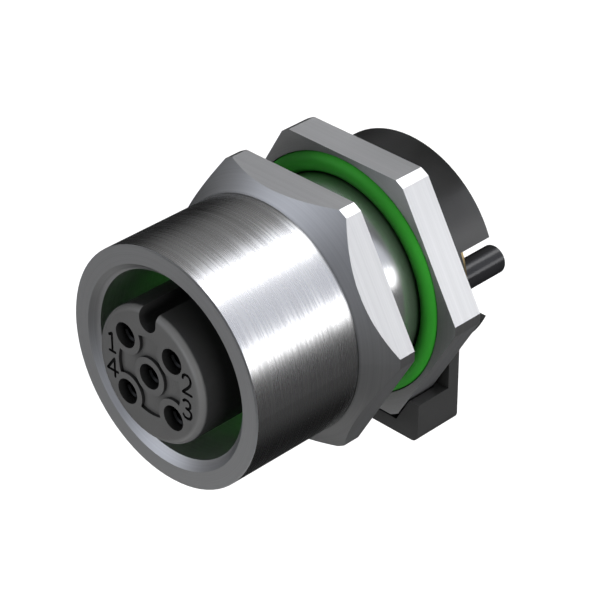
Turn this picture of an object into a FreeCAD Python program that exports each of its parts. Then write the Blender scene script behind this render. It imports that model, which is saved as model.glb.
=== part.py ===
"""Five-way round panel connector, female side, with a 12 mm thread.

The housing comes through a panel from behind, and its hexagonal flange stops
on the panel with a ring seal. A sleeve nut screws on to the neck from the
front, clamps the panel and holds the thread for the mating plug. Behind the
flange a plastic shell stands on a circuit board, with the contact tails and
two locating pegs going through the board.

Units are millimetres. The panel's rear face lies in the plane y = 0, the
connector's axis is Y, the mating face looks towards -Y and Z is up.
"""
import FreeCAD, Part
import math
import os

# Mating thread and panel
thread_d = 12.0
thread_pitch = 1.0
thread_clearance = 0.05
panel_gap = 3.2
panel_thinnest = 1.5

# Sleeve nut
sleeve_length = 10.1
sleeve_wall = 1.0
rim_width = 1.06
rim_break = 0.08
sleeve_corner_length = 1.1
bore_lead = 0.3

# Hexagons of the sleeve nut and the housing, over the sleeve's outside
hex_flat_step = 0.53
hex_corner_step = 1.525

# Housing
neck_length = 5.8
neck_lead = 0.3
neck_front_wall = 1.5
flange_length = 2.0
bore_fit = 0.06

# Ring seal in the flange's face
panel_ring_section = 1.2
panel_ring_proud = 0.35
ring_slack = 0.02
groove_slack = 0.05

# Flat seal at the bottom of the mating bore
bore_seal_length = 0.9
bore_seal_gap = 0.16
bore_seal_fit = 0.03

# Contact insert, with room for the plug's barrel between it and the thread
plug_barrel_gap = 1.46
insert_proud = 1.0
insert_edge = 0.45
insert_shoulder = 1.04
shoulder_slack = 0.02
key_width = 1.25
key_depth = 1.23
key_end_gap = 0.1
face_recess_inset = 0.13
face_recess_depth = 0.2
face_boss_wall = 0.38

# Ring seal round the insert, inside the housing
insert_ring_section = 1.0
insert_ring_from_shoulder = 1.9
insert_groove_length = 1.4

# Contacts
contact_circle_d = 5.0
contact_angles = {1: 135, 2: 45, 3: -45, 4: -135}
mating_pin_d = 1.0
socket_wall = 0.18
socket_fit = 0.06
socket_depth = 5.0
socket_setback = 0.5
socket_lead = 0.1
slit_width = 0.2
slit_length = 3.6
collar_step = 0.14
collar_length = 1.1
collar_fit = 0.04
shank_d = 1.05
shank_fit = 0.03
tail_d = 0.7
tail_through = 1.9
tail_point = 0.15

# Rear shell: a cup that stands on the board and a foot that nests the flange
cup_d = 13.1
cup_wall = 0.43
cup_length = 3.4
shell_gap = 0.05
window_height = 5.1
window_depth = 2.33
foot_inset = 0.5
foot_wall = 0.86
foot_corner = 0.5
foot_side_height = 2.51
nest_clearance = 0.1
plate_gap = 0.45
plate_thickness = 0.82

# Brass shield ring in the cup
shield_thickness = 0.15
shield_length = 1.65
shield_fit = 0.04

# Tail spacer with two locating pegs
spacer_fit = 0.03
spacer_length = 1.0
core_wall = 0.65
core_setback = 0.35
peg_d = 1.7
peg_edge = 0.04
peg_draft = 0.01
peg_through = 1.75
peg_round = 0.15

# Values that follow from the sizes above
thread_r = thread_d / 2
minor_r = thread_r - 0.54125 * thread_pitch
sleeve_r = thread_r + sleeve_wall
hex_half = sleeve_r + hex_flat_step
hex_corner_r = sleeve_r + hex_corner_step
rim_y = -panel_gap - sleeve_length
neck_y = -neck_length
shoulder_y = neck_y + neck_front_wall
insert_r = minor_r - plug_barrel_gap
body_r = insert_r + insert_shoulder
body_bore_r = body_r + bore_fit
face_y = rim_y - insert_proud
bore_seal_y = neck_y - bore_seal_length
board_y = flange_length + shell_gap + cup_length
contact_circle_r = contact_circle_d / 2
socket_r = mating_pin_d / 2 + socket_wall
socket_hole_r = socket_r + socket_fit
collar_r = socket_r + collar_step
collar_y = flange_length - collar_length - shoulder_slack
shank_r = shank_d / 2
shank_hole_r = shank_r + shank_fit
shank_end_y = board_y - core_setback
tail_r = tail_d / 2
tail_y = board_y + tail_through
cup_r = cup_d / 2
cup_bore_r = cup_r - cup_wall
shell_y = flange_length + shell_gap
shield_r = cup_bore_r - shield_fit
spacer_r = shield_r - shield_thickness - spacer_fit
core_r = contact_circle_r + shank_hole_r + core_wall
peg_r = peg_d / 2
peg_x = spacer_r - peg_r - peg_edge


def vec(x, y, z):
    return FreeCAD.Vector(x, y, z)


def turned(outline):
    """Solid of revolution about the Y axis from (radius, y) corners."""
    corners = [vec(radius, y, 0) for radius, y in outline]
    face = Part.Face(Part.makePolygon(corners + corners[:1]))
    return face.revolve(vec(0, 0, 0), vec(0, 1, 0), 360)


def rod(radius, y_from, y_to, x=0.0, z=0.0):
    """Cylinder along Y between two planes."""
    return Part.makeCylinder(radius, y_to - y_from, vec(x, y_from, z), vec(0, 1, 0))


def block(x_from, x_to, y_from, y_to, z_from, z_to):
    corner = vec(x_from, y_from, z_from)
    return Part.makeBox(x_to - x_from, y_to - y_from, z_to - z_from, corner)


def hexagon(half_width, y_from, y_to):
    """Hexagonal prism along Y with flats at its top and bottom."""
    corner_r = half_width / math.cos(math.pi / 6)
    corners = []
    for step in range(7):
        angle = math.radians(60 * step)
        corners.append(vec(corner_r * math.cos(angle), y_from, corner_r * math.sin(angle)))
    return Part.Face(Part.makePolygon(corners)).extrude(vec(0, y_to - y_from, 0))


def ring(section, middle_r, y):
    """Round-section ring about the Y axis."""
    return Part.makeTorus(middle_r, section / 2, vec(0, y, 0), vec(0, 1, 0))


def circle_edge(shape, radius, y):
    """The circular edge of that radius in the plane at y."""
    for edge in shape.Edges:
        on_plane = abs(edge.BoundBox.YMin - y) < 1e-6 and abs(edge.BoundBox.YMax - y) < 1e-6
        if on_plane and abs(edge.BoundBox.XMax - radius) < 1e-3:
            return edge
    raise ValueError("no circular edge there")


def contact_places():
    """Contact number with its x and z; number 5 is on the axis."""
    places = {5: (0.0, 0.0)}
    for number, angle in contact_angles.items():
        turn = math.radians(angle)
        places[number] = (contact_circle_r * math.cos(turn), contact_circle_r * math.sin(turn))
    return places


def front_sleeve():
    """Sleeve nut: thread for the plug in front, for the neck behind, with a hexagon."""
    rear_y = rim_y + sleeve_length
    cone_end_y = rear_y - sleeve_corner_length
    cone_start_y = cone_end_y - hex_corner_step
    mouth_r = sleeve_r - rim_width
    travel_in = panel_gap - panel_thinnest
    step_y = neck_y - travel_in - thread_clearance
    neck_bore_r = thread_r + thread_clearance
    blank = turned([
        (mouth_r, rim_y),
        (sleeve_r - rim_break, rim_y),
        (sleeve_r, rim_y + rim_break),
        (sleeve_r, cone_start_y),
        (hex_corner_r, cone_end_y),
        (hex_corner_r, rear_y),
        (neck_bore_r + bore_lead, rear_y),
        (neck_bore_r, rear_y - bore_lead),
        (neck_bore_r, step_y),
        (minor_r, step_y),
        (minor_r, rim_y + mouth_r - minor_r),
    ])
    return blank.common(hexagon(hex_half, rim_y, rear_y))


def rear_housing():
    """Neck and hexagonal flange, with the seal groove and the insert's bore."""
    groove_r = thread_r + panel_ring_section + groove_slack
    groove_depth = panel_ring_section - panel_ring_proud
    neck = turned([
        (insert_r + bore_fit, neck_y),
        (thread_r - neck_lead, neck_y),
        (thread_r, neck_y + neck_lead),
        (thread_r, flange_length),
        (body_bore_r, flange_length),
        (body_bore_r, shoulder_y),
        (insert_r + bore_fit, shoulder_y),
    ])
    flange = rod(hex_corner_r, 0, flange_length).common(hexagon(hex_half, 0, flange_length))
    flange = flange.cut(rod(groove_r, 0, groove_depth)).cut(rod(body_bore_r, 0, flange_length))
    return flange.fuse(neck).removeSplitter()


def panel_o_ring():
    middle_r = thread_r + ring_slack + panel_ring_section / 2
    return ring(panel_ring_section, middle_r, panel_ring_section / 2 - panel_ring_proud - ring_slack)


def bore_seal():
    """Flat seal round the insert, on the neck's front face."""
    inner_r = insert_r + bore_seal_fit
    outer_r = minor_r - bore_seal_gap
    edge = bore_seal_length / 4
    return turned([
        (inner_r, bore_seal_y),
        (outer_r - edge, bore_seal_y),
        (outer_r, bore_seal_y + edge),
        (outer_r, neck_y),
        (inner_r, neck_y),
    ])


def insert_groove_y():
    return shoulder_y + insert_ring_from_shoulder


def insert_o_ring():
    """Seal between the insert and the housing's bore."""
    middle_r = body_bore_r - ring_slack - insert_ring_section / 2
    return ring(insert_ring_section, middle_r, insert_groove_y() + insert_groove_length / 2)


def contact_insert():
    """Moulded insert with its keyway, face relief and five contact cavities."""
    front_end_y = shoulder_y + shoulder_slack
    groove_r = body_bore_r - ring_slack - insert_ring_section
    groove_y = insert_groove_y()
    insert = turned([
        (0, face_y),
        (insert_r, face_y),
        (insert_r, front_end_y),
        (body_r, front_end_y),
        (body_r, groove_y),
        (groove_r, groove_y),
        (groove_r, groove_y + insert_groove_length),
        (body_r, groove_y + insert_groove_length),
        (body_r, flange_length),
        (0, flange_length),
    ])
    insert = insert.makeFillet(insert_edge, [circle_edge(insert, insert_r, face_y)])
    key_r = key_width / 2
    key_z = insert_r - key_depth + key_r
    key_end_y = bore_seal_y - key_end_gap
    insert = insert.cut(block(-key_r, key_r, face_y, key_end_y, key_z, insert_r + key_r))
    insert = insert.cut(rod(key_r, face_y, key_end_y, 0, key_z))
    places = contact_places().values()
    recess_end_y = face_y + face_recess_depth
    recess = rod(contact_circle_r - face_recess_inset, face_y, recess_end_y)
    for x, z in places:
        recess = recess.cut(rod(socket_hole_r + face_boss_wall, face_y, recess_end_y, x, z))
    insert = insert.cut(recess)
    for x, z in places:
        insert = insert.cut(rod(socket_hole_r, face_y, flange_length, x, z))
        insert = insert.cut(rod(collar_r + collar_fit, collar_y - collar_fit, flange_length, x, z))
    return insert


def contact(x, z):
    """Turned socket contact with two spring fingers, a collar, a shank and a board tail."""
    mouth_y = face_y + socket_setback
    pin_r = mating_pin_d / 2
    collar_end_y = collar_y + collar_length
    shape = turned([
        (pin_r + socket_lead, mouth_y),
        (socket_r, mouth_y),
        (socket_r, collar_y),
        (collar_r, collar_y),
        (collar_r, collar_end_y),
        (shank_r, collar_end_y),
        (shank_r, shank_end_y - shank_r + tail_r),
        (tail_r, shank_end_y),
        (tail_r, tail_y - tail_point),
        (tail_r - tail_point, tail_y),
        (0, tail_y),
        (0, mouth_y + socket_depth),
        (pin_r, mouth_y + socket_depth - pin_r),
        (pin_r, mouth_y + socket_lead),
    ])
    half_slit = slit_width / 2
    slit = block(-socket_r * 2, socket_r * 2, mouth_y, mouth_y + slit_length, -half_slit, half_slit)
    shape = shape.cut(slit)
    shape.translate(vec(x, 0, z))
    return shape


def locating_peg(disc_end_y):
    """Peg with a drafted root as far as the board and a straight end through it."""
    peg_end_y = board_y + peg_through
    peg = turned([
        (0, shell_y),
        (peg_r + peg_draft, shell_y),
        (peg_r + peg_draft, disc_end_y),
        (peg_r, board_y),
        (peg_r, peg_end_y),
        (0, peg_end_y),
    ])
    return peg.makeFillet(peg_round, [circle_edge(peg, peg_r, peg_end_y)])


def tail_spacer():
    """Disc that traps the contact collars, with a core for the shanks and two pegs."""
    disc_end_y = shell_y + spacer_length
    spacer = rod(spacer_r, shell_y, disc_end_y).fuse(rod(core_r, shell_y, shank_end_y))
    for x in (-peg_x, peg_x):
        peg = locating_peg(disc_end_y)
        peg.translate(vec(x, 0, 0))
        spacer = spacer.fuse(peg)
    for x, z in contact_places().values():
        spacer = spacer.cut(rod(shank_hole_r, shell_y, shank_end_y, x, z))
    return spacer.removeSplitter()


def shield_ring():
    """Thin brass ring that joins the housing to the board's screen."""
    tube = rod(shield_r, shell_y, shell_y + shield_length)
    return tube.cut(rod(shield_r - shield_thickness, shell_y, shell_y + shield_length))


def rear_shell():
    """Cup, side windows and the foot that nests the flange's lower corners."""
    foot_x = cup_r - foot_inset
    nest_half = hex_half + nest_clearance
    foot_z = -nest_half - foot_wall
    side_z = foot_z + foot_side_height
    window_z = window_height / 2
    plate_y = flange_length + plate_gap
    plate_end_y = plate_y + plate_thickness
    foot = block(-foot_x, foot_x, 0, plate_end_y, foot_z, -window_z)
    low_edges = []
    for edge in foot.Edges:
        box = edge.BoundBox
        if box.ZMax < foot_z + 1e-6 and box.YLength > plate_end_y / 2:
            low_edges.append(edge)
    foot = foot.makeFillet(foot_corner, low_edges)
    foot = foot.cut(block(-foot_x, foot_x, 0, plate_y, side_z, 0))
    foot = foot.cut(hexagon(nest_half, 0, shell_y))
    cup = rod(cup_r, shell_y, board_y)
    window_y = board_y - window_depth
    window = block(-cup_r, cup_r, window_y, board_y, -window_z, window_z)
    shell = foot.fuse(cup).cut(rod(cup_bore_r, shell_y, board_y))
    return shell.cut(window).removeSplitter()


def write(name, shape):
    shape.exportStep("parts/" + name + ".step")


os.makedirs("parts", exist_ok=True)
write("front_sleeve", front_sleeve())
write("rear_housing", rear_housing())
write("panel_o_ring", panel_o_ring())
write("bore_seal", bore_seal())
write("insert_o_ring", insert_o_ring())
write("contact_insert", contact_insert())
write("tail_spacer", tail_spacer())
write("shield_ring", shield_ring())
write("rear_shell", rear_shell())
for number, (contact_x, contact_z) in sorted(contact_places().items()):
    write("contact_" + str(number), contact(contact_x, contact_z))
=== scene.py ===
"""Looks of the five-way round panel connector.

The CAD pieces keep their shapes and get procedural metals, rubber and plastics.
The contact insert is replaced by a copy with the contact numbers engraved in its
face. Around it stand studio lamps, a dark tent that only reflections see, a small
black card, a pale floor and the camera.

Lengths are metres in the CAD frame: -Y is the mating side and Z is up. Values in
millimetres are multiplied by MM.
"""
import math

import bmesh
import bpy
from mathutils import Matrix, Vector


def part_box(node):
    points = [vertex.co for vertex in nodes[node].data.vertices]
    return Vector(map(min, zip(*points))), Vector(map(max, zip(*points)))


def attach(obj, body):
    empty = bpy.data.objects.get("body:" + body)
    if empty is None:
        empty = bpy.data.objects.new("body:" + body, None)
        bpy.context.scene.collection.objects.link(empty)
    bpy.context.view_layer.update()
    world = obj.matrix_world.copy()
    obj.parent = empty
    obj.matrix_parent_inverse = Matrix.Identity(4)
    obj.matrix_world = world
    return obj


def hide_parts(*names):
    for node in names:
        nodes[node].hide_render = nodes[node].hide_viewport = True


MM = 0.001

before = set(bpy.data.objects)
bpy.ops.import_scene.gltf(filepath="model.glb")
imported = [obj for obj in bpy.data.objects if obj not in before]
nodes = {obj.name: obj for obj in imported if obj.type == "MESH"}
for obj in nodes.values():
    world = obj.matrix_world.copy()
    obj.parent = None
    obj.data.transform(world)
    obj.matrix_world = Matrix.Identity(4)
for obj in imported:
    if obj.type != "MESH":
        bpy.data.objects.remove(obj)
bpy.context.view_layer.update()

# Camera
CAMERA_AT = Vector((86.44, -90.15, 77.75)) * MM
CAMERA_AZIMUTH = 44.82
CAMERA_ELEVATION = 32.48
CAMERA_ROLL = -0.107
LENS = 159.72
SENSOR = 36.0

# Radii that divide the turned surfaces from each other, in millimetres
BORE_ZONE_R = 5.6
NECK_ZONE_R = 6.1
BARREL_INNER_R = 6.6
RIM_BREAK_R = 6.91
BARREL_ZONE_R = 7.1
CORNER_ZONE_R = 8.3

# Places along the axis where the rim's break or a painted shade starts or ends, in millimetres
RIM_BREAK_Y = -13.1
SOCKET_END_Y = -6.5
CONE_FOOT_Y = -5.92
SEAL_SHADE_Y = -0.7

# Cosine of the angle between a surface's normal and the axis from which it counts as a
# rounded edge, a face across the axis or a flat end, and of the angle between normal and
# radius from which it counts as turned
EDGE_COSINE = 0.25
FACE_COSINE = 0.35
END_COSINE = 0.93
TURNED_COSINE = 0.97

# Nickel plate
NICKEL = (0.66, 0.66, 0.66)
BRUSHED_ROUGHNESS = (0.2, 0.35)
MILLED_ROUGHNESS = 0.56
CORNER_ROUGHNESS = 0.36
FACE_ROUGHNESS = 0.44
INNER_METALLIC = 0.93
# Painted shade in crevices and gaps, at the cone's foot and near the seal, and a painted green
# reflection near the seal
CREVICE_SHADE_REACH = 0.18
GAP_SHADE_DEPTH = 0.7
CONE_FOOT_SHADE_LEVEL = 0.5
SEAL_SHADE_LEVEL = 0.75
SEAL_REFLECTION_RED_BLUE = 0.72
RIM_BREAK_BEND = (0, -8, 0)

# Tool marks: how quickly they change with each millimetre, and how much they show
MARKS_ALONG = 7.0
MARKS_OUTWARD = 12.0
MARKS_ROUND = 0.03
MARKS_TILT = 0.13
MARKS_TINT = 0.12

# Moulded plastic and rubber; the grain's depth is in millimetres
GRAIN_DEPTH = 0.02
GRAIN_STRENGTH = 0.25
CLOUDS_TINT = 0.1
CLOUDS_ROUGHNESS = 0.05

# Gold and brass: how much the wear lightens and darkens them, and the reach and depth of their
# painted shade in corners
WEAR_TINT = 0.08
GOLD_BRASS_CORNER_SHADE = (0.6, 1.2)

# Engraved contact numbers: lowest corner and size of each digit's box, in millimetres
DIGIT_BOXES = {
    "1": (-3.12, 0.27, 0.50, 1.14),
    "4": (-3.28, -1.28, 0.80, 1.12),
    "2": (2.56, 0.30, 0.66, 1.14),
    "3": (2.56, -1.26, 0.62, 1.14),
}
DIGIT_STROKE = 0.165
DIGIT_DEPTH = 0.1
STROKE_END_STEPS = 4
WELD_DISTANCE = 0.0001
SHARP_ANGLE = 30

# Strokes of the digits in a box of one by one
DIGIT_STROKES = {
    "1": [[(0.1, 0.86), (0.55, 1.0), (0.55, 0.0)], [(0.1, 0.0), (1.0, 0.0)]],
    "4": [[(0.7, 0.0), (0.7, 1.0), (0.0, 0.32), (1.0, 0.32)]],
    "2": [[(0.02, 0.76), (0.1, 0.92), (0.32, 1.0), (0.62, 1.0), (0.85, 0.9), (0.93, 0.72),
           (0.86, 0.54), (0.62, 0.36), (0.3, 0.18), (0.0, 0.0), (1.0, 0.0)]],
    "3": [[(0.03, 0.88), (0.25, 0.99), (0.6, 0.99), (0.86, 0.86), (0.86, 0.68), (0.66, 0.56),
           (0.36, 0.53), (0.7, 0.5), (0.96, 0.38), (0.97, 0.2), (0.8, 0.05), (0.45, 0.0),
           (0.15, 0.03), (0.0, 0.14)]],
}

# Studio, in metres unless a name says otherwise
LAMP_DISTANCE = 0.20
FILL_DISTANCE = 0.26
KEY_DISTANCE = 0.40
KEY_SIZE = 0.20
TENT_RADIUS = 0.6
TENT_GREY = 0.009
FLOOR_HALF = 3.0
FLOOR_Z = -0.032
FLOOR_GREY = 0.22
FLOOR_GLOW = 0.9
WORLD_FILL = 0.4

# Surfaces that run along the axis reflect the camera's view this far towards +Y
VIEW_FORWARD = 0.598

# The black card above the shell: its place along the axis, and the angle and radius
# of each corner, in degrees and millimetres
FLAG_Y = 6.4
FLAG_CORNERS = ((52, 6.9), (71, 6.9), (89, 6.9), (89, 11.5), (71, 12.5), (52, 12.5))


def new_object(name, data):
    """Object with that data, linked to the scene."""
    placed = bpy.data.objects.new(name, data)
    bpy.context.scene.collection.objects.link(placed)
    return placed


# Shader nodes

def add_node(tree, kind, inputs=None, **settings):
    """Shader node of that kind, with its settings and its inputs set or linked."""
    node = tree.nodes.new("ShaderNode" + kind)
    for key, value in settings.items():
        setattr(node, key, value)
    for socket, value in (inputs or {}).items():
        if isinstance(value, bpy.types.NodeSocket):
            tree.links.new(value, node.inputs[socket])
        else:
            node.inputs[socket].default_value = value
    return node


def maths(tree, operation, *values):
    """Result of a sum on numbers or sockets."""
    return add_node(tree, "Math", dict(enumerate(values)), operation=operation).outputs[0]


def product(tree, *values):
    """All the values multiplied, from the first to the last."""
    result = values[0]
    for value in values[1:]:
        result = maths(tree, "MULTIPLY", result, value)
    return result


def inverted(tree, value):
    """1 where the value is 0, and 0 where it is 1."""
    return maths(tree, "SUBTRACT", 1.0, value)


def vector_maths(tree, operation, *values):
    """Result of a sum on vectors, which is a number for a length or a dot product."""
    node = add_node(tree, "VectorMath", dict(enumerate(values)), operation=operation)
    return node.outputs["Value" if operation in ("LENGTH", "DOT_PRODUCT") else "Vector"]


def scaled(tree, vector, factor):
    """The vector or colour times a number."""
    inputs = {0: vector, "Scale": factor}
    return add_node(tree, "VectorMath", inputs, operation="SCALE").outputs[0]


def step_up(tree, value, threshold, softness):
    """0 below the threshold and 1 above it, with a soft edge."""
    ends = {"From Min": threshold - softness, "From Max": threshold + softness}
    node = add_node(tree, "MapRange", {"Value": value, **ends}, interpolation_type="SMOOTHSTEP")
    return node.outputs["Result"]


def between(tree, factor, low, high):
    """Number that goes from low to high with the factor."""
    node = add_node(tree, "MapRange", {"Value": factor, "To Min": low, "To Max": high})
    return node.outputs["Result"]


def mixed(tree, factor, low, high):
    """Mix of two numbers, either of which may come from a node."""
    return add_node(tree, "Mix", {"Factor": factor, 2: low, 3: high}).outputs[0]


def mixed_colour(tree, factor, low, high):
    """Mix of two colours of four parts, either of which may come from a node."""
    inputs = {"Factor": factor, 6: low, 7: high}
    return add_node(tree, "Mix", inputs, data_type="RGBA").outputs[2]


def tinted(tree, colour, factor, amount):
    """The colour, lighter and darker by that share as the factor goes from 0 to 1."""
    low = tuple(c * (1 - amount) for c in colour) + (1.0,)
    high = tuple(c * (1 + amount) for c in colour) + (1.0,)
    return mixed_colour(tree, factor, low, high)


def noise(tree, vector, scale, detail=2.0, roughness=0.5):
    inputs = {"Vector": vector, "Scale": scale, "Detail": detail, "Roughness": roughness}
    return add_node(tree, "TexNoise", inputs).outputs["Fac"]


def place_mm(tree):
    """Position on the piece in millimetres."""
    coordinates = add_node(tree, "TexCoord").outputs["Object"]
    return vector_maths(tree, "MULTIPLY", coordinates, (1 / MM,) * 3)


def surface_normal(tree):
    return add_node(tree, "NewGeometry").outputs["Normal"]


def axis_cosine(tree, normal):
    """1 where the surface faces along the axis and 0 where it runs along it."""
    return maths(tree, "ABSOLUTE", vector_maths(tree, "DOT_PRODUCT", normal, (0, 1, 0)))


def corner_shade(tree, reach, depth):
    """Painted shade from ambient occlusion: 1 on open surfaces and darker in corners; the reach is
    in millimetres.
    """
    inputs = {"Distance": reach * MM}
    open_part = add_node(tree, "AmbientOcclusion", inputs, samples=8).outputs["AO"]
    return maths(tree, "POWER", open_part, depth)


# Materials

def new_material(name, colour, roughness, metallic=0.0):
    material = bpy.data.materials.new(name)
    material.use_nodes = True
    shader = material.node_tree.nodes["Principled BSDF"]
    shader.inputs["Base Color"].default_value = (*colour, 1.0)
    shader.inputs["Roughness"].default_value = roughness
    shader.inputs["Metallic"].default_value = metallic
    return material, material.node_tree, shader


def tool_marks(tree, place, radius, is_face):
    """Noise that changes quickly along the axis, or outward on faces, and slowly round it."""
    x, y, z = add_node(tree, "SeparateXYZ", {"Vector": place}).outputs
    parts = {
        "X": product(tree, x, MARKS_ROUND),
        "Y": product(tree, y, MARKS_ALONG),
        "Z": product(tree, z, MARKS_ROUND),
    }
    inputs = {
        "Vector": add_node(tree, "CombineXYZ", parts).outputs[0],
        "W": product(tree, radius, MARKS_OUTWARD, is_face),
        "Scale": 1.0,
        "Detail": 2.0,
        "Roughness": 0.6,
    }
    return add_node(tree, "TexNoise", inputs, noise_dimensions="4D").outputs["Fac"]


def plated_metal(name, inner_to, inner_roughness, brushed_to, gap_shade_reach, flat_painted_light, crevice_shade_depth):
    """Turned nickel plate.

    It is fine up to the radius inner_to, brushed from there to brushed_to, and has
    milled flats and rounded corners beyond; faces across the axis are satin. Its colour
    carries painted shade in crevices, gaps, at the cone's foot and near the seal, a painted
    green reflection near the seal and painted light on the flats.
    """
    material, tree, shader = new_material(name, NICKEL, 0.3, 1.0)
    place = place_mm(tree)
    y = add_node(tree, "SeparateXYZ", {"Vector": place}).outputs[1]
    from_axis = vector_maths(tree, "MULTIPLY", place, (1, 0, 1))
    radius = vector_maths(tree, "LENGTH", from_axis)
    outward = vector_maths(tree, "NORMALIZE", from_axis)
    normal = surface_normal(tree)

    # where each finish and each painted shade lies
    is_face = step_up(tree, axis_cosine(tree, normal), FACE_COSINE, 0.02)
    not_face = inverted(tree, is_face)
    is_inner = inverted(tree, step_up(tree, radius, inner_to, 0.02))
    is_milled = step_up(tree, radius, brushed_to, 0.02)
    is_brushed = product(tree, inverted(tree, is_milled), not_face)
    turned_cosine = vector_maths(tree, "DOT_PRODUCT", normal, outward)
    is_corner = product(tree, step_up(tree, turned_cosine, TURNED_COSINE, 0.01),
                        step_up(tree, radius, CORNER_ZONE_R, 0.05))
    is_flat = product(tree, maths(tree, "SUBTRACT", is_milled, is_corner), not_face)
    is_break = product(tree, is_face, step_up(tree, radius, RIM_BREAK_R, 0.01),
                       inverted(tree, step_up(tree, y, RIM_BREAK_Y, 0.02)))
    cone_foot_shade_mask = product(tree, is_brushed, step_up(tree, y, CONE_FOOT_Y, 0.06),
                        step_up(tree, radius, BARREL_INNER_R, 0.05))
    seal_shade_and_reflection = product(tree, is_inner, step_up(tree, y, SEAL_SHADE_Y, 0.5))

    # the marks tilt the brushed surface; the narrow break round the rim is rubbed smooth,
    # so it shades as the rim does
    marks = tool_marks(tree, place, radius, is_face)
    tilt = product(tree, maths(tree, "SUBTRACT", marks, 0.5), is_brushed, MARKS_TILT)
    tangent = vector_maths(tree, "CROSS_PRODUCT", (0, 1, 0), normal)
    bent = vector_maths(tree, "ADD", normal, scaled(tree, tangent, tilt))
    bent = vector_maths(tree, "ADD", bent, scaled(tree, RIM_BREAK_BEND, is_break))
    tree.links.new(vector_maths(tree, "NORMALIZE", bent), shader.inputs["Normal"])

    roughness = between(tree, marks, *BRUSHED_ROUGHNESS)
    roughness = mixed(tree, is_inner, roughness, inner_roughness)
    roughness = mixed(tree, is_milled, roughness, MILLED_ROUGHNESS)
    roughness = mixed(tree, is_corner, roughness, CORNER_ROUGHNESS)
    roughness = mixed(tree, is_face, roughness, FACE_ROUGHNESS)
    tree.links.new(roughness, shader.inputs["Roughness"])

    level = product(
        tree,
        # painted light: the flats are lighter than the rest of the plate
        between(tree, is_flat, 1.0, flat_painted_light),
        # painted shade in crevices
        corner_shade(tree, CREVICE_SHADE_REACH, crevice_shade_depth),
        # painted shade on faces in the gap between the hexagons
        mixed(tree, is_face, 1.0, corner_shade(tree, gap_shade_reach, GAP_SHADE_DEPTH)),
        # painted shade on the barrel at the cone's foot
        between(tree, cone_foot_shade_mask, 1.0, CONE_FOOT_SHADE_LEVEL),
        # painted shade on the neck near the seal
        between(tree, seal_shade_and_reflection, 1.0, SEAL_SHADE_LEVEL),
    )
    base = scaled(tree, tinted(tree, NICKEL, marks, MARKS_TINT), level)
    # painted reflection of the green seal: red and blue lowered on the neck near it
    red_blue = between(tree, seal_shade_and_reflection, 1.0, SEAL_REFLECTION_RED_BLUE)
    painted_seal_reflection = add_node(tree, "CombineXYZ", {"X": red_blue, "Y": 1.0, "Z": red_blue}).outputs[0]
    tree.links.new(vector_maths(tree, "MULTIPLY", base, painted_seal_reflection), shader.inputs["Base Color"])
    tree.links.new(between(tree, is_inner, 1.0, INNER_METALLIC), shader.inputs["Metallic"])
    return material


def moulded(name, colour, roughness, specular=0.5, side_shade=1.0, edge_highlight=1.0,
            shade=(0.3, 1.0)):
    """Moulded plastic or rubber with a faint grain and painted shade in corners.

    Sides along the axis get painted shade and rounded edges a painted highlight, each at a
    level of its own. The shade is the reach and depth of the painted shade in corners.
    """
    material, tree, shader = new_material(name, colour, roughness)
    shader.inputs["Specular IOR Level"].default_value = specular
    place = place_mm(tree)
    clouds = noise(tree, place, 0.9, 3.0)
    fine = noise(tree, place, 9.0, 3.0, 0.6)
    facing_axis = axis_cosine(tree, surface_normal(tree))
    # painted shade on the sides along the axis and a painted highlight on the rounded edges
    level = between(tree, step_up(tree, facing_axis, EDGE_COSINE, 0.2), side_shade, edge_highlight)
    level = mixed(tree, step_up(tree, facing_axis, END_COSINE, 0.05), level, 1.0)
    # painted shade in corners
    level = product(tree, level, corner_shade(tree, *shade))
    base = scaled(tree, tinted(tree, colour, clouds, CLOUDS_TINT), level)
    tree.links.new(base, shader.inputs["Base Color"])
    uneven = between(tree, clouds, roughness - CLOUDS_ROUGHNESS, roughness + CLOUDS_ROUGHNESS)
    tree.links.new(uneven, shader.inputs["Roughness"])
    inputs = {"Height": fine, "Strength": GRAIN_STRENGTH, "Distance": GRAIN_DEPTH * MM}
    tree.links.new(add_node(tree, "Bump", inputs).outputs[0], shader.inputs["Normal"])
    return material


def coloured_metal(name, colour, roughness, socket_shade_colour=None):
    """Gold plate or brass sheet with light wear and painted shade in corners; the contacts' ends
    are painted near-black as shade in their sockets.
    """
    material, tree, shader = new_material(name, colour, roughness, 1.0)
    place = place_mm(tree)
    worn = noise(tree, place, 3.0, 4.0, 0.6)
    base = tinted(tree, colour, worn, WEAR_TINT)
    # painted shade: the contacts' ends in their sockets are near-black
    if socket_shade_colour:
        y = add_node(tree, "SeparateXYZ", {"Vector": place}).outputs[1]
        behind = step_up(tree, y, SOCKET_END_Y, 0.3)
        base = mixed_colour(tree, behind, (*socket_shade_colour, 1.0), base)
    # painted shade in corners
    base = scaled(tree, base, corner_shade(tree, *GOLD_BRASS_CORNER_SHADE))
    tree.links.new(base, shader.inputs["Base Color"])
    uneven = between(tree, worn, roughness - 0.06, roughness + 0.08)
    tree.links.new(uneven, shader.inputs["Roughness"])
    return material


def dress(material, *names):
    """Give the named pieces that material alone."""
    for name in names:
        mesh = nodes[name].data
        mesh.materials.clear()
        mesh.materials.append(material)


sleeve_metal = plated_metal(
    "sleeve_nickel", inner_to=BORE_ZONE_R, inner_roughness=0.36, brushed_to=BARREL_ZONE_R,
    gap_shade_reach=0.2, flat_painted_light=1.06, crevice_shade_depth=2.0)
housing_metal = plated_metal(
    "housing_nickel", inner_to=NECK_ZONE_R, inner_roughness=0.22, brushed_to=NECK_ZONE_R,
    gap_shade_reach=4.0, flat_painted_light=1.12, crevice_shade_depth=0.8)
seal_rubber = moulded(
    "green_seal_rubber", (0.02, 0.19, 0.016), 0.45, specular=0.2, shade=(0.05, 0.4))
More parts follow.
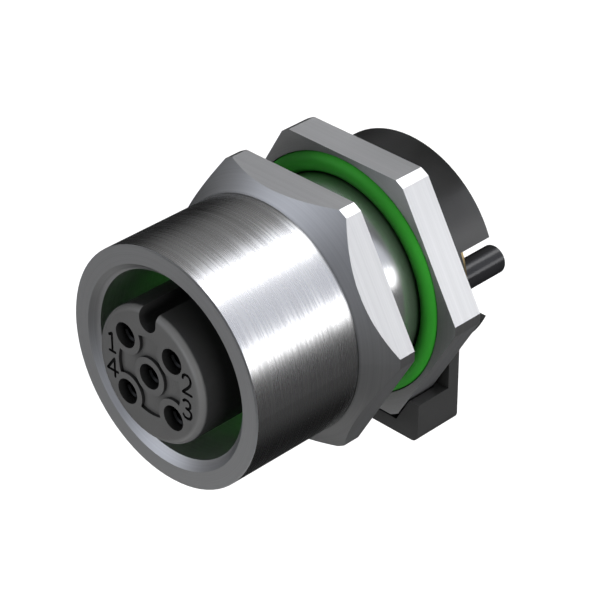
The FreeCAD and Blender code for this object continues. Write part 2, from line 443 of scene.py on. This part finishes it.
# a darker copy of the green seal rubber: painted shade
shaded_bore_rubber = moulded("bore_seal_rubber", (0.022, 0.15, 0.018), 0.5, specular=0.2)
insert_plastic = moulded(
    "insert_plastic", (0.058, 0.058, 0.058), 0.38, side_shade=0.22, edge_highlight=1.27)
# near-black fill for the engraved numbers' grooves: painted shade
groove_shade = moulded("groove_shade", (0.004, 0.004, 0.004), 0.6, specular=0.1)
shell_plastic = moulded(
    "shell_plastic", (0.025, 0.025, 0.025), 0.36, specular=0.32, shade=(1.0, 0.8))
peg_plastic = moulded("peg_plastic", (0.010, 0.010, 0.011), 0.20, specular=0.4)
# its last colour is the painted shade on the contacts' ends in their sockets
contact_gold = coloured_metal("contact_gold", (0.83, 0.62, 0.28), 0.36, (0.03, 0.03, 0.03))
shield_brass = coloured_metal("shield_brass", (0.76, 0.58, 0.3), 0.3)

dress(sleeve_metal, "front_sleeve")
dress(housing_metal, "rear_housing")
dress(seal_rubber, "panel_o_ring", "insert_o_ring")
dress(shaded_bore_rubber, "bore_seal")
dress(insert_plastic, "contact_insert")
dress(shell_plastic, "rear_shell")
dress(peg_plastic, "tail_spacer")
dress(shield_brass, "shield_ring")
dress(contact_gold, *("contact_" + str(number) for number in range(1, 6)))


# Contact insert with engraved numbers

def stroke_prism(edit, start, end, face_y):
    """Round-ended prism along one stretch of a stroke, sunk into the insert's face."""
    run = Vector(end) - Vector(start)
    heading = math.atan2(run.y, run.x)
    outline = []
    for step in range(2 * STROKE_END_STEPS + 2):
        at_end = step <= STROKE_END_STEPS
        centre = end if at_end else start
        half_turns = (step if at_end else step - 1) / STROKE_END_STEPS
        turn = heading - math.pi / 2 + math.pi * half_turns
        x = centre[0] + DIGIT_STROKE / 2 * math.cos(turn)
        z = centre[1] + DIGIT_STROKE / 2 * math.sin(turn)
        outline.append((x * MM, z * MM))
    top = [edit.verts.new((x, face_y - DIGIT_DEPTH * MM, z)) for x, z in outline]
    bottom = [edit.verts.new((x, face_y + DIGIT_DEPTH * MM, z)) for x, z in outline]
    edit.faces.new(top)
    edit.faces.new(reversed(bottom))
    for k, corner in enumerate(top):
        edit.faces.new((corner, top[k - 1], bottom[k - 1], bottom[k]))


def digit_cutter(face_y):
    """Prisms for all the strokes of the contact numbers."""
    edit = bmesh.new()
    for digit, (low_x, low_z, width, height) in DIGIT_BOXES.items():
        for stroke in DIGIT_STROKES[digit]:
            points = [(low_x + u * width, low_z + v * height) for u, v in stroke]
            for start, end in zip(points, points[1:]):
                stroke_prism(edit, start, end, face_y)
    bmesh.ops.recalc_face_normals(edit, faces=edit.faces)
    mesh = bpy.data.meshes.new("digit_cutter")
    edit.to_mesh(mesh)
    edit.free()
    # the grooves take the painted shade
    mesh.materials.append(groove_shade)
    return new_object("digit_cutter", mesh)


def engraved_insert():
    """Copy of the contact insert with the contact numbers cut into its face."""
    mesh = nodes["contact_insert"].data.copy()
    edit = bmesh.new()
    edit.from_mesh(mesh)
    bmesh.ops.remove_doubles(edit, verts=edit.verts, dist=WELD_DISTANCE * MM)
    edit.to_mesh(mesh)
    edit.free()
    insert = new_object("numbered_insert", mesh)
    cutter = digit_cutter(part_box("contact_insert")[0].y)
    cut = insert.modifiers.new("numbers", "BOOLEAN")
    cut.operation = "DIFFERENCE"
    cut.solver = "EXACT"
    cut.use_self = True
    cut.material_mode = "TRANSFER"
    cut.object = cutter
    bpy.context.view_layer.update()
    depsgraph = bpy.context.evaluated_depsgraph_get()
    cut_mesh = bpy.data.meshes.new_from_object(insert.evaluated_get(depsgraph))
    cut_mesh.name = "numbered_insert"
    insert.modifiers.clear()
    insert.data = cut_mesh
    bpy.data.objects.remove(cutter)
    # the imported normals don't fit the cut faces
    packed_normals = cut_mesh.attributes.get("custom_normal")
    if packed_normals:
        cut_mesh.attributes.remove(packed_normals)
    cut_mesh.shade_smooth()
    cut_mesh.set_sharp_from_angle(angle=math.radians(SHARP_ANGLE))
    return insert


insert = engraved_insert()
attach(insert, "connector")
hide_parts("contact_insert")


# Studio

def direction(azimuth, elevation):
    """Unit vector away from the object; azimuth 0 is the mating side, 90 is +X."""
    a = math.radians(azimuth)
    e = math.radians(elevation)
    return Vector((math.sin(a) * math.cos(e), -math.cos(a) * math.cos(e), math.sin(e)))


def round_axis(angle):
    """Unit vector at that angle round the axis, from +X towards +Z, and VIEW_FORWARD along it."""
    a = math.radians(angle)
    out = math.sqrt(1 - VIEW_FORWARD * VIEW_FORWARD)
    return Vector((out * math.cos(a), VIEW_FORWARD, out * math.sin(a)))


def soft_light(name, towards, distance, width, length, radiance, colour=(1.0, 1.0, 1.0)):
    """Rectangular lamp that faces the object, its length lying along the connector's axis."""
    lamp = bpy.data.lights.new(name, "AREA")
    lamp.shape = "RECTANGLE"
    lamp.size = width
    lamp.size_y = length
    lamp.energy = math.pi * width * length * radiance
    lamp.color = colour
    back = Vector(towards).normalized()
    along = (Vector((0, 1, 0)) - back * back.y).normalized()
    turn = Matrix((along.cross(back), along, back)).transposed().to_4x4()
    placed = new_object(name, lamp)
    placed.matrix_world = Matrix.Translation(back * distance) @ turn
    placed.visible_camera = False
    return placed


def key_light(name, towards, radiance):
    """Lamp for the matt surfaces, which doesn't show in reflections."""
    key = soft_light(name, towards, KEY_DISTANCE, KEY_SIZE, KEY_SIZE, radiance)
    key.visible_glossy = False


# Light patches on the dark tent: where to, half width and softness in degrees,
# strength, colour
PLAIN = (1.0, 1.0, 1.0)
COOL = (0.93, 0.975, 1.09)
TENT_PATCHES = [
    (direction(-40, 27), 16, 10, 1.05, COOL),
    (direction(-14, 46), 14, 12, 0.72, COOL),
    (direction(12, 38), 24, 20, 0.08, COOL),
    (direction(7, -1), 13, 10, 1.60, COOL),
    (direction(-72, 16), 20, 16, 0.12, PLAIN),
    (direction(-45, -32), 26, 20, 0.16, PLAIN),
    (direction(-37, -57), 8, 6, 1.3, PLAIN),
    (direction(40, -15), 26, 16, 0.10, PLAIN),
    (direction(-10, -76), 22, 20, 0.14, PLAIN),
    (round_axis(-26), 22, 20, 0.055, PLAIN),
    (round_axis(-122), 12, 12, 0.012, PLAIN),
    (direction(180, -4), 24, 14, 0.22, PLAIN),
    (round_axis(92), 15, 11, 0.08, PLAIN),
    (round_axis(100), 31, 31, 0.21, PLAIN),
]


def dark_tent():
    """Dark dome round the set with glowing light patches on it, which only reflections see."""
    mesh = bpy.data.meshes.new("dark_tent")
    edit = bmesh.new()
    bmesh.ops.create_icosphere(edit, subdivisions=4, radius=TENT_RADIUS)
    edit.to_mesh(mesh)
    edit.free()
    material = bpy.data.materials.new("tent_glow")
    material.use_nodes = True
    tree = material.node_tree
    tree.nodes.clear()
    facing = vector_maths(tree, "NORMALIZE", add_node(tree, "TexCoord").outputs["Object"])
    light = (TENT_GREY,) * 3
    for towards, edge, soft, strength, tint in TENT_PATCHES:
        aligned = vector_maths(tree, "DOT_PRODUCT", facing, tuple(towards))
        inner = math.cos(math.radians(max(edge - soft, 0.0)))
        outer = math.cos(math.radians(edge + soft))
        patch = step_up(tree, aligned, (inner + outer) / 2, (inner - outer) / 2)
        colour = tuple(strength * part for part in tint)
        light = vector_maths(tree, "ADD", light, scaled(tree, colour, patch))
    emission = add_node(tree, "Emission", {"Color": light, "Strength": 1.0})
    output = add_node(tree, "OutputMaterial", {"Surface": emission.outputs[0]})
    output.is_active_output = True
    mesh.materials.append(material)
    tent = new_object("dark_tent", mesh)
    for ray in ("camera", "diffuse", "transmission", "volume_scatter", "shadow"):
        setattr(tent, "visible_" + ray, False)


def pale_floor():
    """Floor below the connector, which is held by its panel and doesn't stand on it."""
    mesh = bpy.data.meshes.new("floor")
    turns = ((-1, -1), (1, -1), (1, 1), (-1, 1))
    corners = [(x * FLOOR_HALF, y * FLOOR_HALF, FLOOR_Z) for x, y in turns]
    mesh.from_pydata(corners, [], [(0, 1, 2, 3)])
    grey = (FLOOR_GREY,) * 3
    material, tree, shader = new_material("floor_paint", grey, 0.9)
    place = add_node(tree, "TexCoord").outputs["Object"]
    paint = tinted(tree, grey, noise(tree, place, 40.0), 0.01)
    tree.links.new(paint, shader.inputs["Base Color"])
    shader.inputs["Specular IOR Level"].default_value = 0.0
    shader.inputs["Emission Color"].default_value = (1.0, 1.0, 1.0, 1.0)
    seen = add_node(tree, "LightPath").outputs["Is Camera Ray"]
    tree.links.new(between(tree, seen, 0.0, FLOOR_GLOW), shader.inputs["Emission Strength"])
    mesh.materials.append(material)
    floor = new_object("floor", mesh)
    floor.visible_glossy = False


def shell_flag():
    """Small black card above the shell, which keeps the upper lights off its top."""
    mesh = bpy.data.meshes.new("shell_flag")
    corners = []
    for angle, radius in FLAG_CORNERS:
        a = math.radians(angle)
        corners.append(Vector((radius * math.cos(a), FLAG_Y, radius * math.sin(a))) * MM)
    mesh.from_pydata(corners, [], [tuple(range(len(corners)))])
    mesh.materials.append(moulded("black_card", (0.01, 0.01, 0.01), 0.9, specular=0.0))
    flag = new_object("shell_flag", mesh)
    flag.visible_camera = False


def studio_world():
    """White behind the object and in reflections, and a plain level of light on it."""
    world = bpy.data.worlds.new("studio")
    bpy.context.scene.world = world
    world.use_nodes = True
    tree = world.node_tree
    path = add_node(tree, "LightPath")
    seen = maths(tree, "MAXIMUM", path.outputs["Is Camera Ray"], path.outputs["Is Glossy Ray"])
    seen = maths(tree, "MAXIMUM", seen, path.outputs["Is Transmission Ray"])
    background = tree.nodes["Background"]
    background.inputs["Color"].default_value = (1.0, 1.0, 1.0, 1.0)
    tree.links.new(between(tree, seen, WORLD_FILL, 1.0), background.inputs["Strength"])


soft_light("right_strip", round_axis(13.5), LAMP_DISTANCE, 0.057, 0.30, 2.3)
soft_light("top_strip", round_axis(81), LAMP_DISTANCE, 0.060, 0.30, 2.6)
soft_light("back_fill", round_axis(56), FILL_DISTANCE, 0.40, 0.36, 0.70, (0.93, 0.96, 1.07))
key_light("front_key", direction(-4, 3), 15.0)
key_light("right_key", direction(80, 12), 13.5)
key_light("rear_key", direction(176, 6), 11.0)
dark_tent()
pale_floor()
shell_flag()
studio_world()


# Camera

def place_camera():
    """Camera fitted to the view of the photo."""
    camera = new_object("camera", bpy.data.cameras.new("camera"))
    camera.data.lens = LENS
    camera.data.sensor_width = SENSOR
    camera.data.clip_start = 0.005
    camera.data.clip_end = 20.0
    back = direction(CAMERA_AZIMUTH, CAMERA_ELEVATION)
    turn = (-back).to_track_quat("-Z", "Y").to_matrix().to_4x4()
    roll = Matrix.Rotation(math.radians(CAMERA_ROLL), 4, "Z")
    camera.matrix_world = Matrix.Translation(CAMERA_AT) @ turn @ roll
    bpy.context.scene.camera = camera


place_camera()
bpy.context.scene.view_settings.view_transform = "Standard"
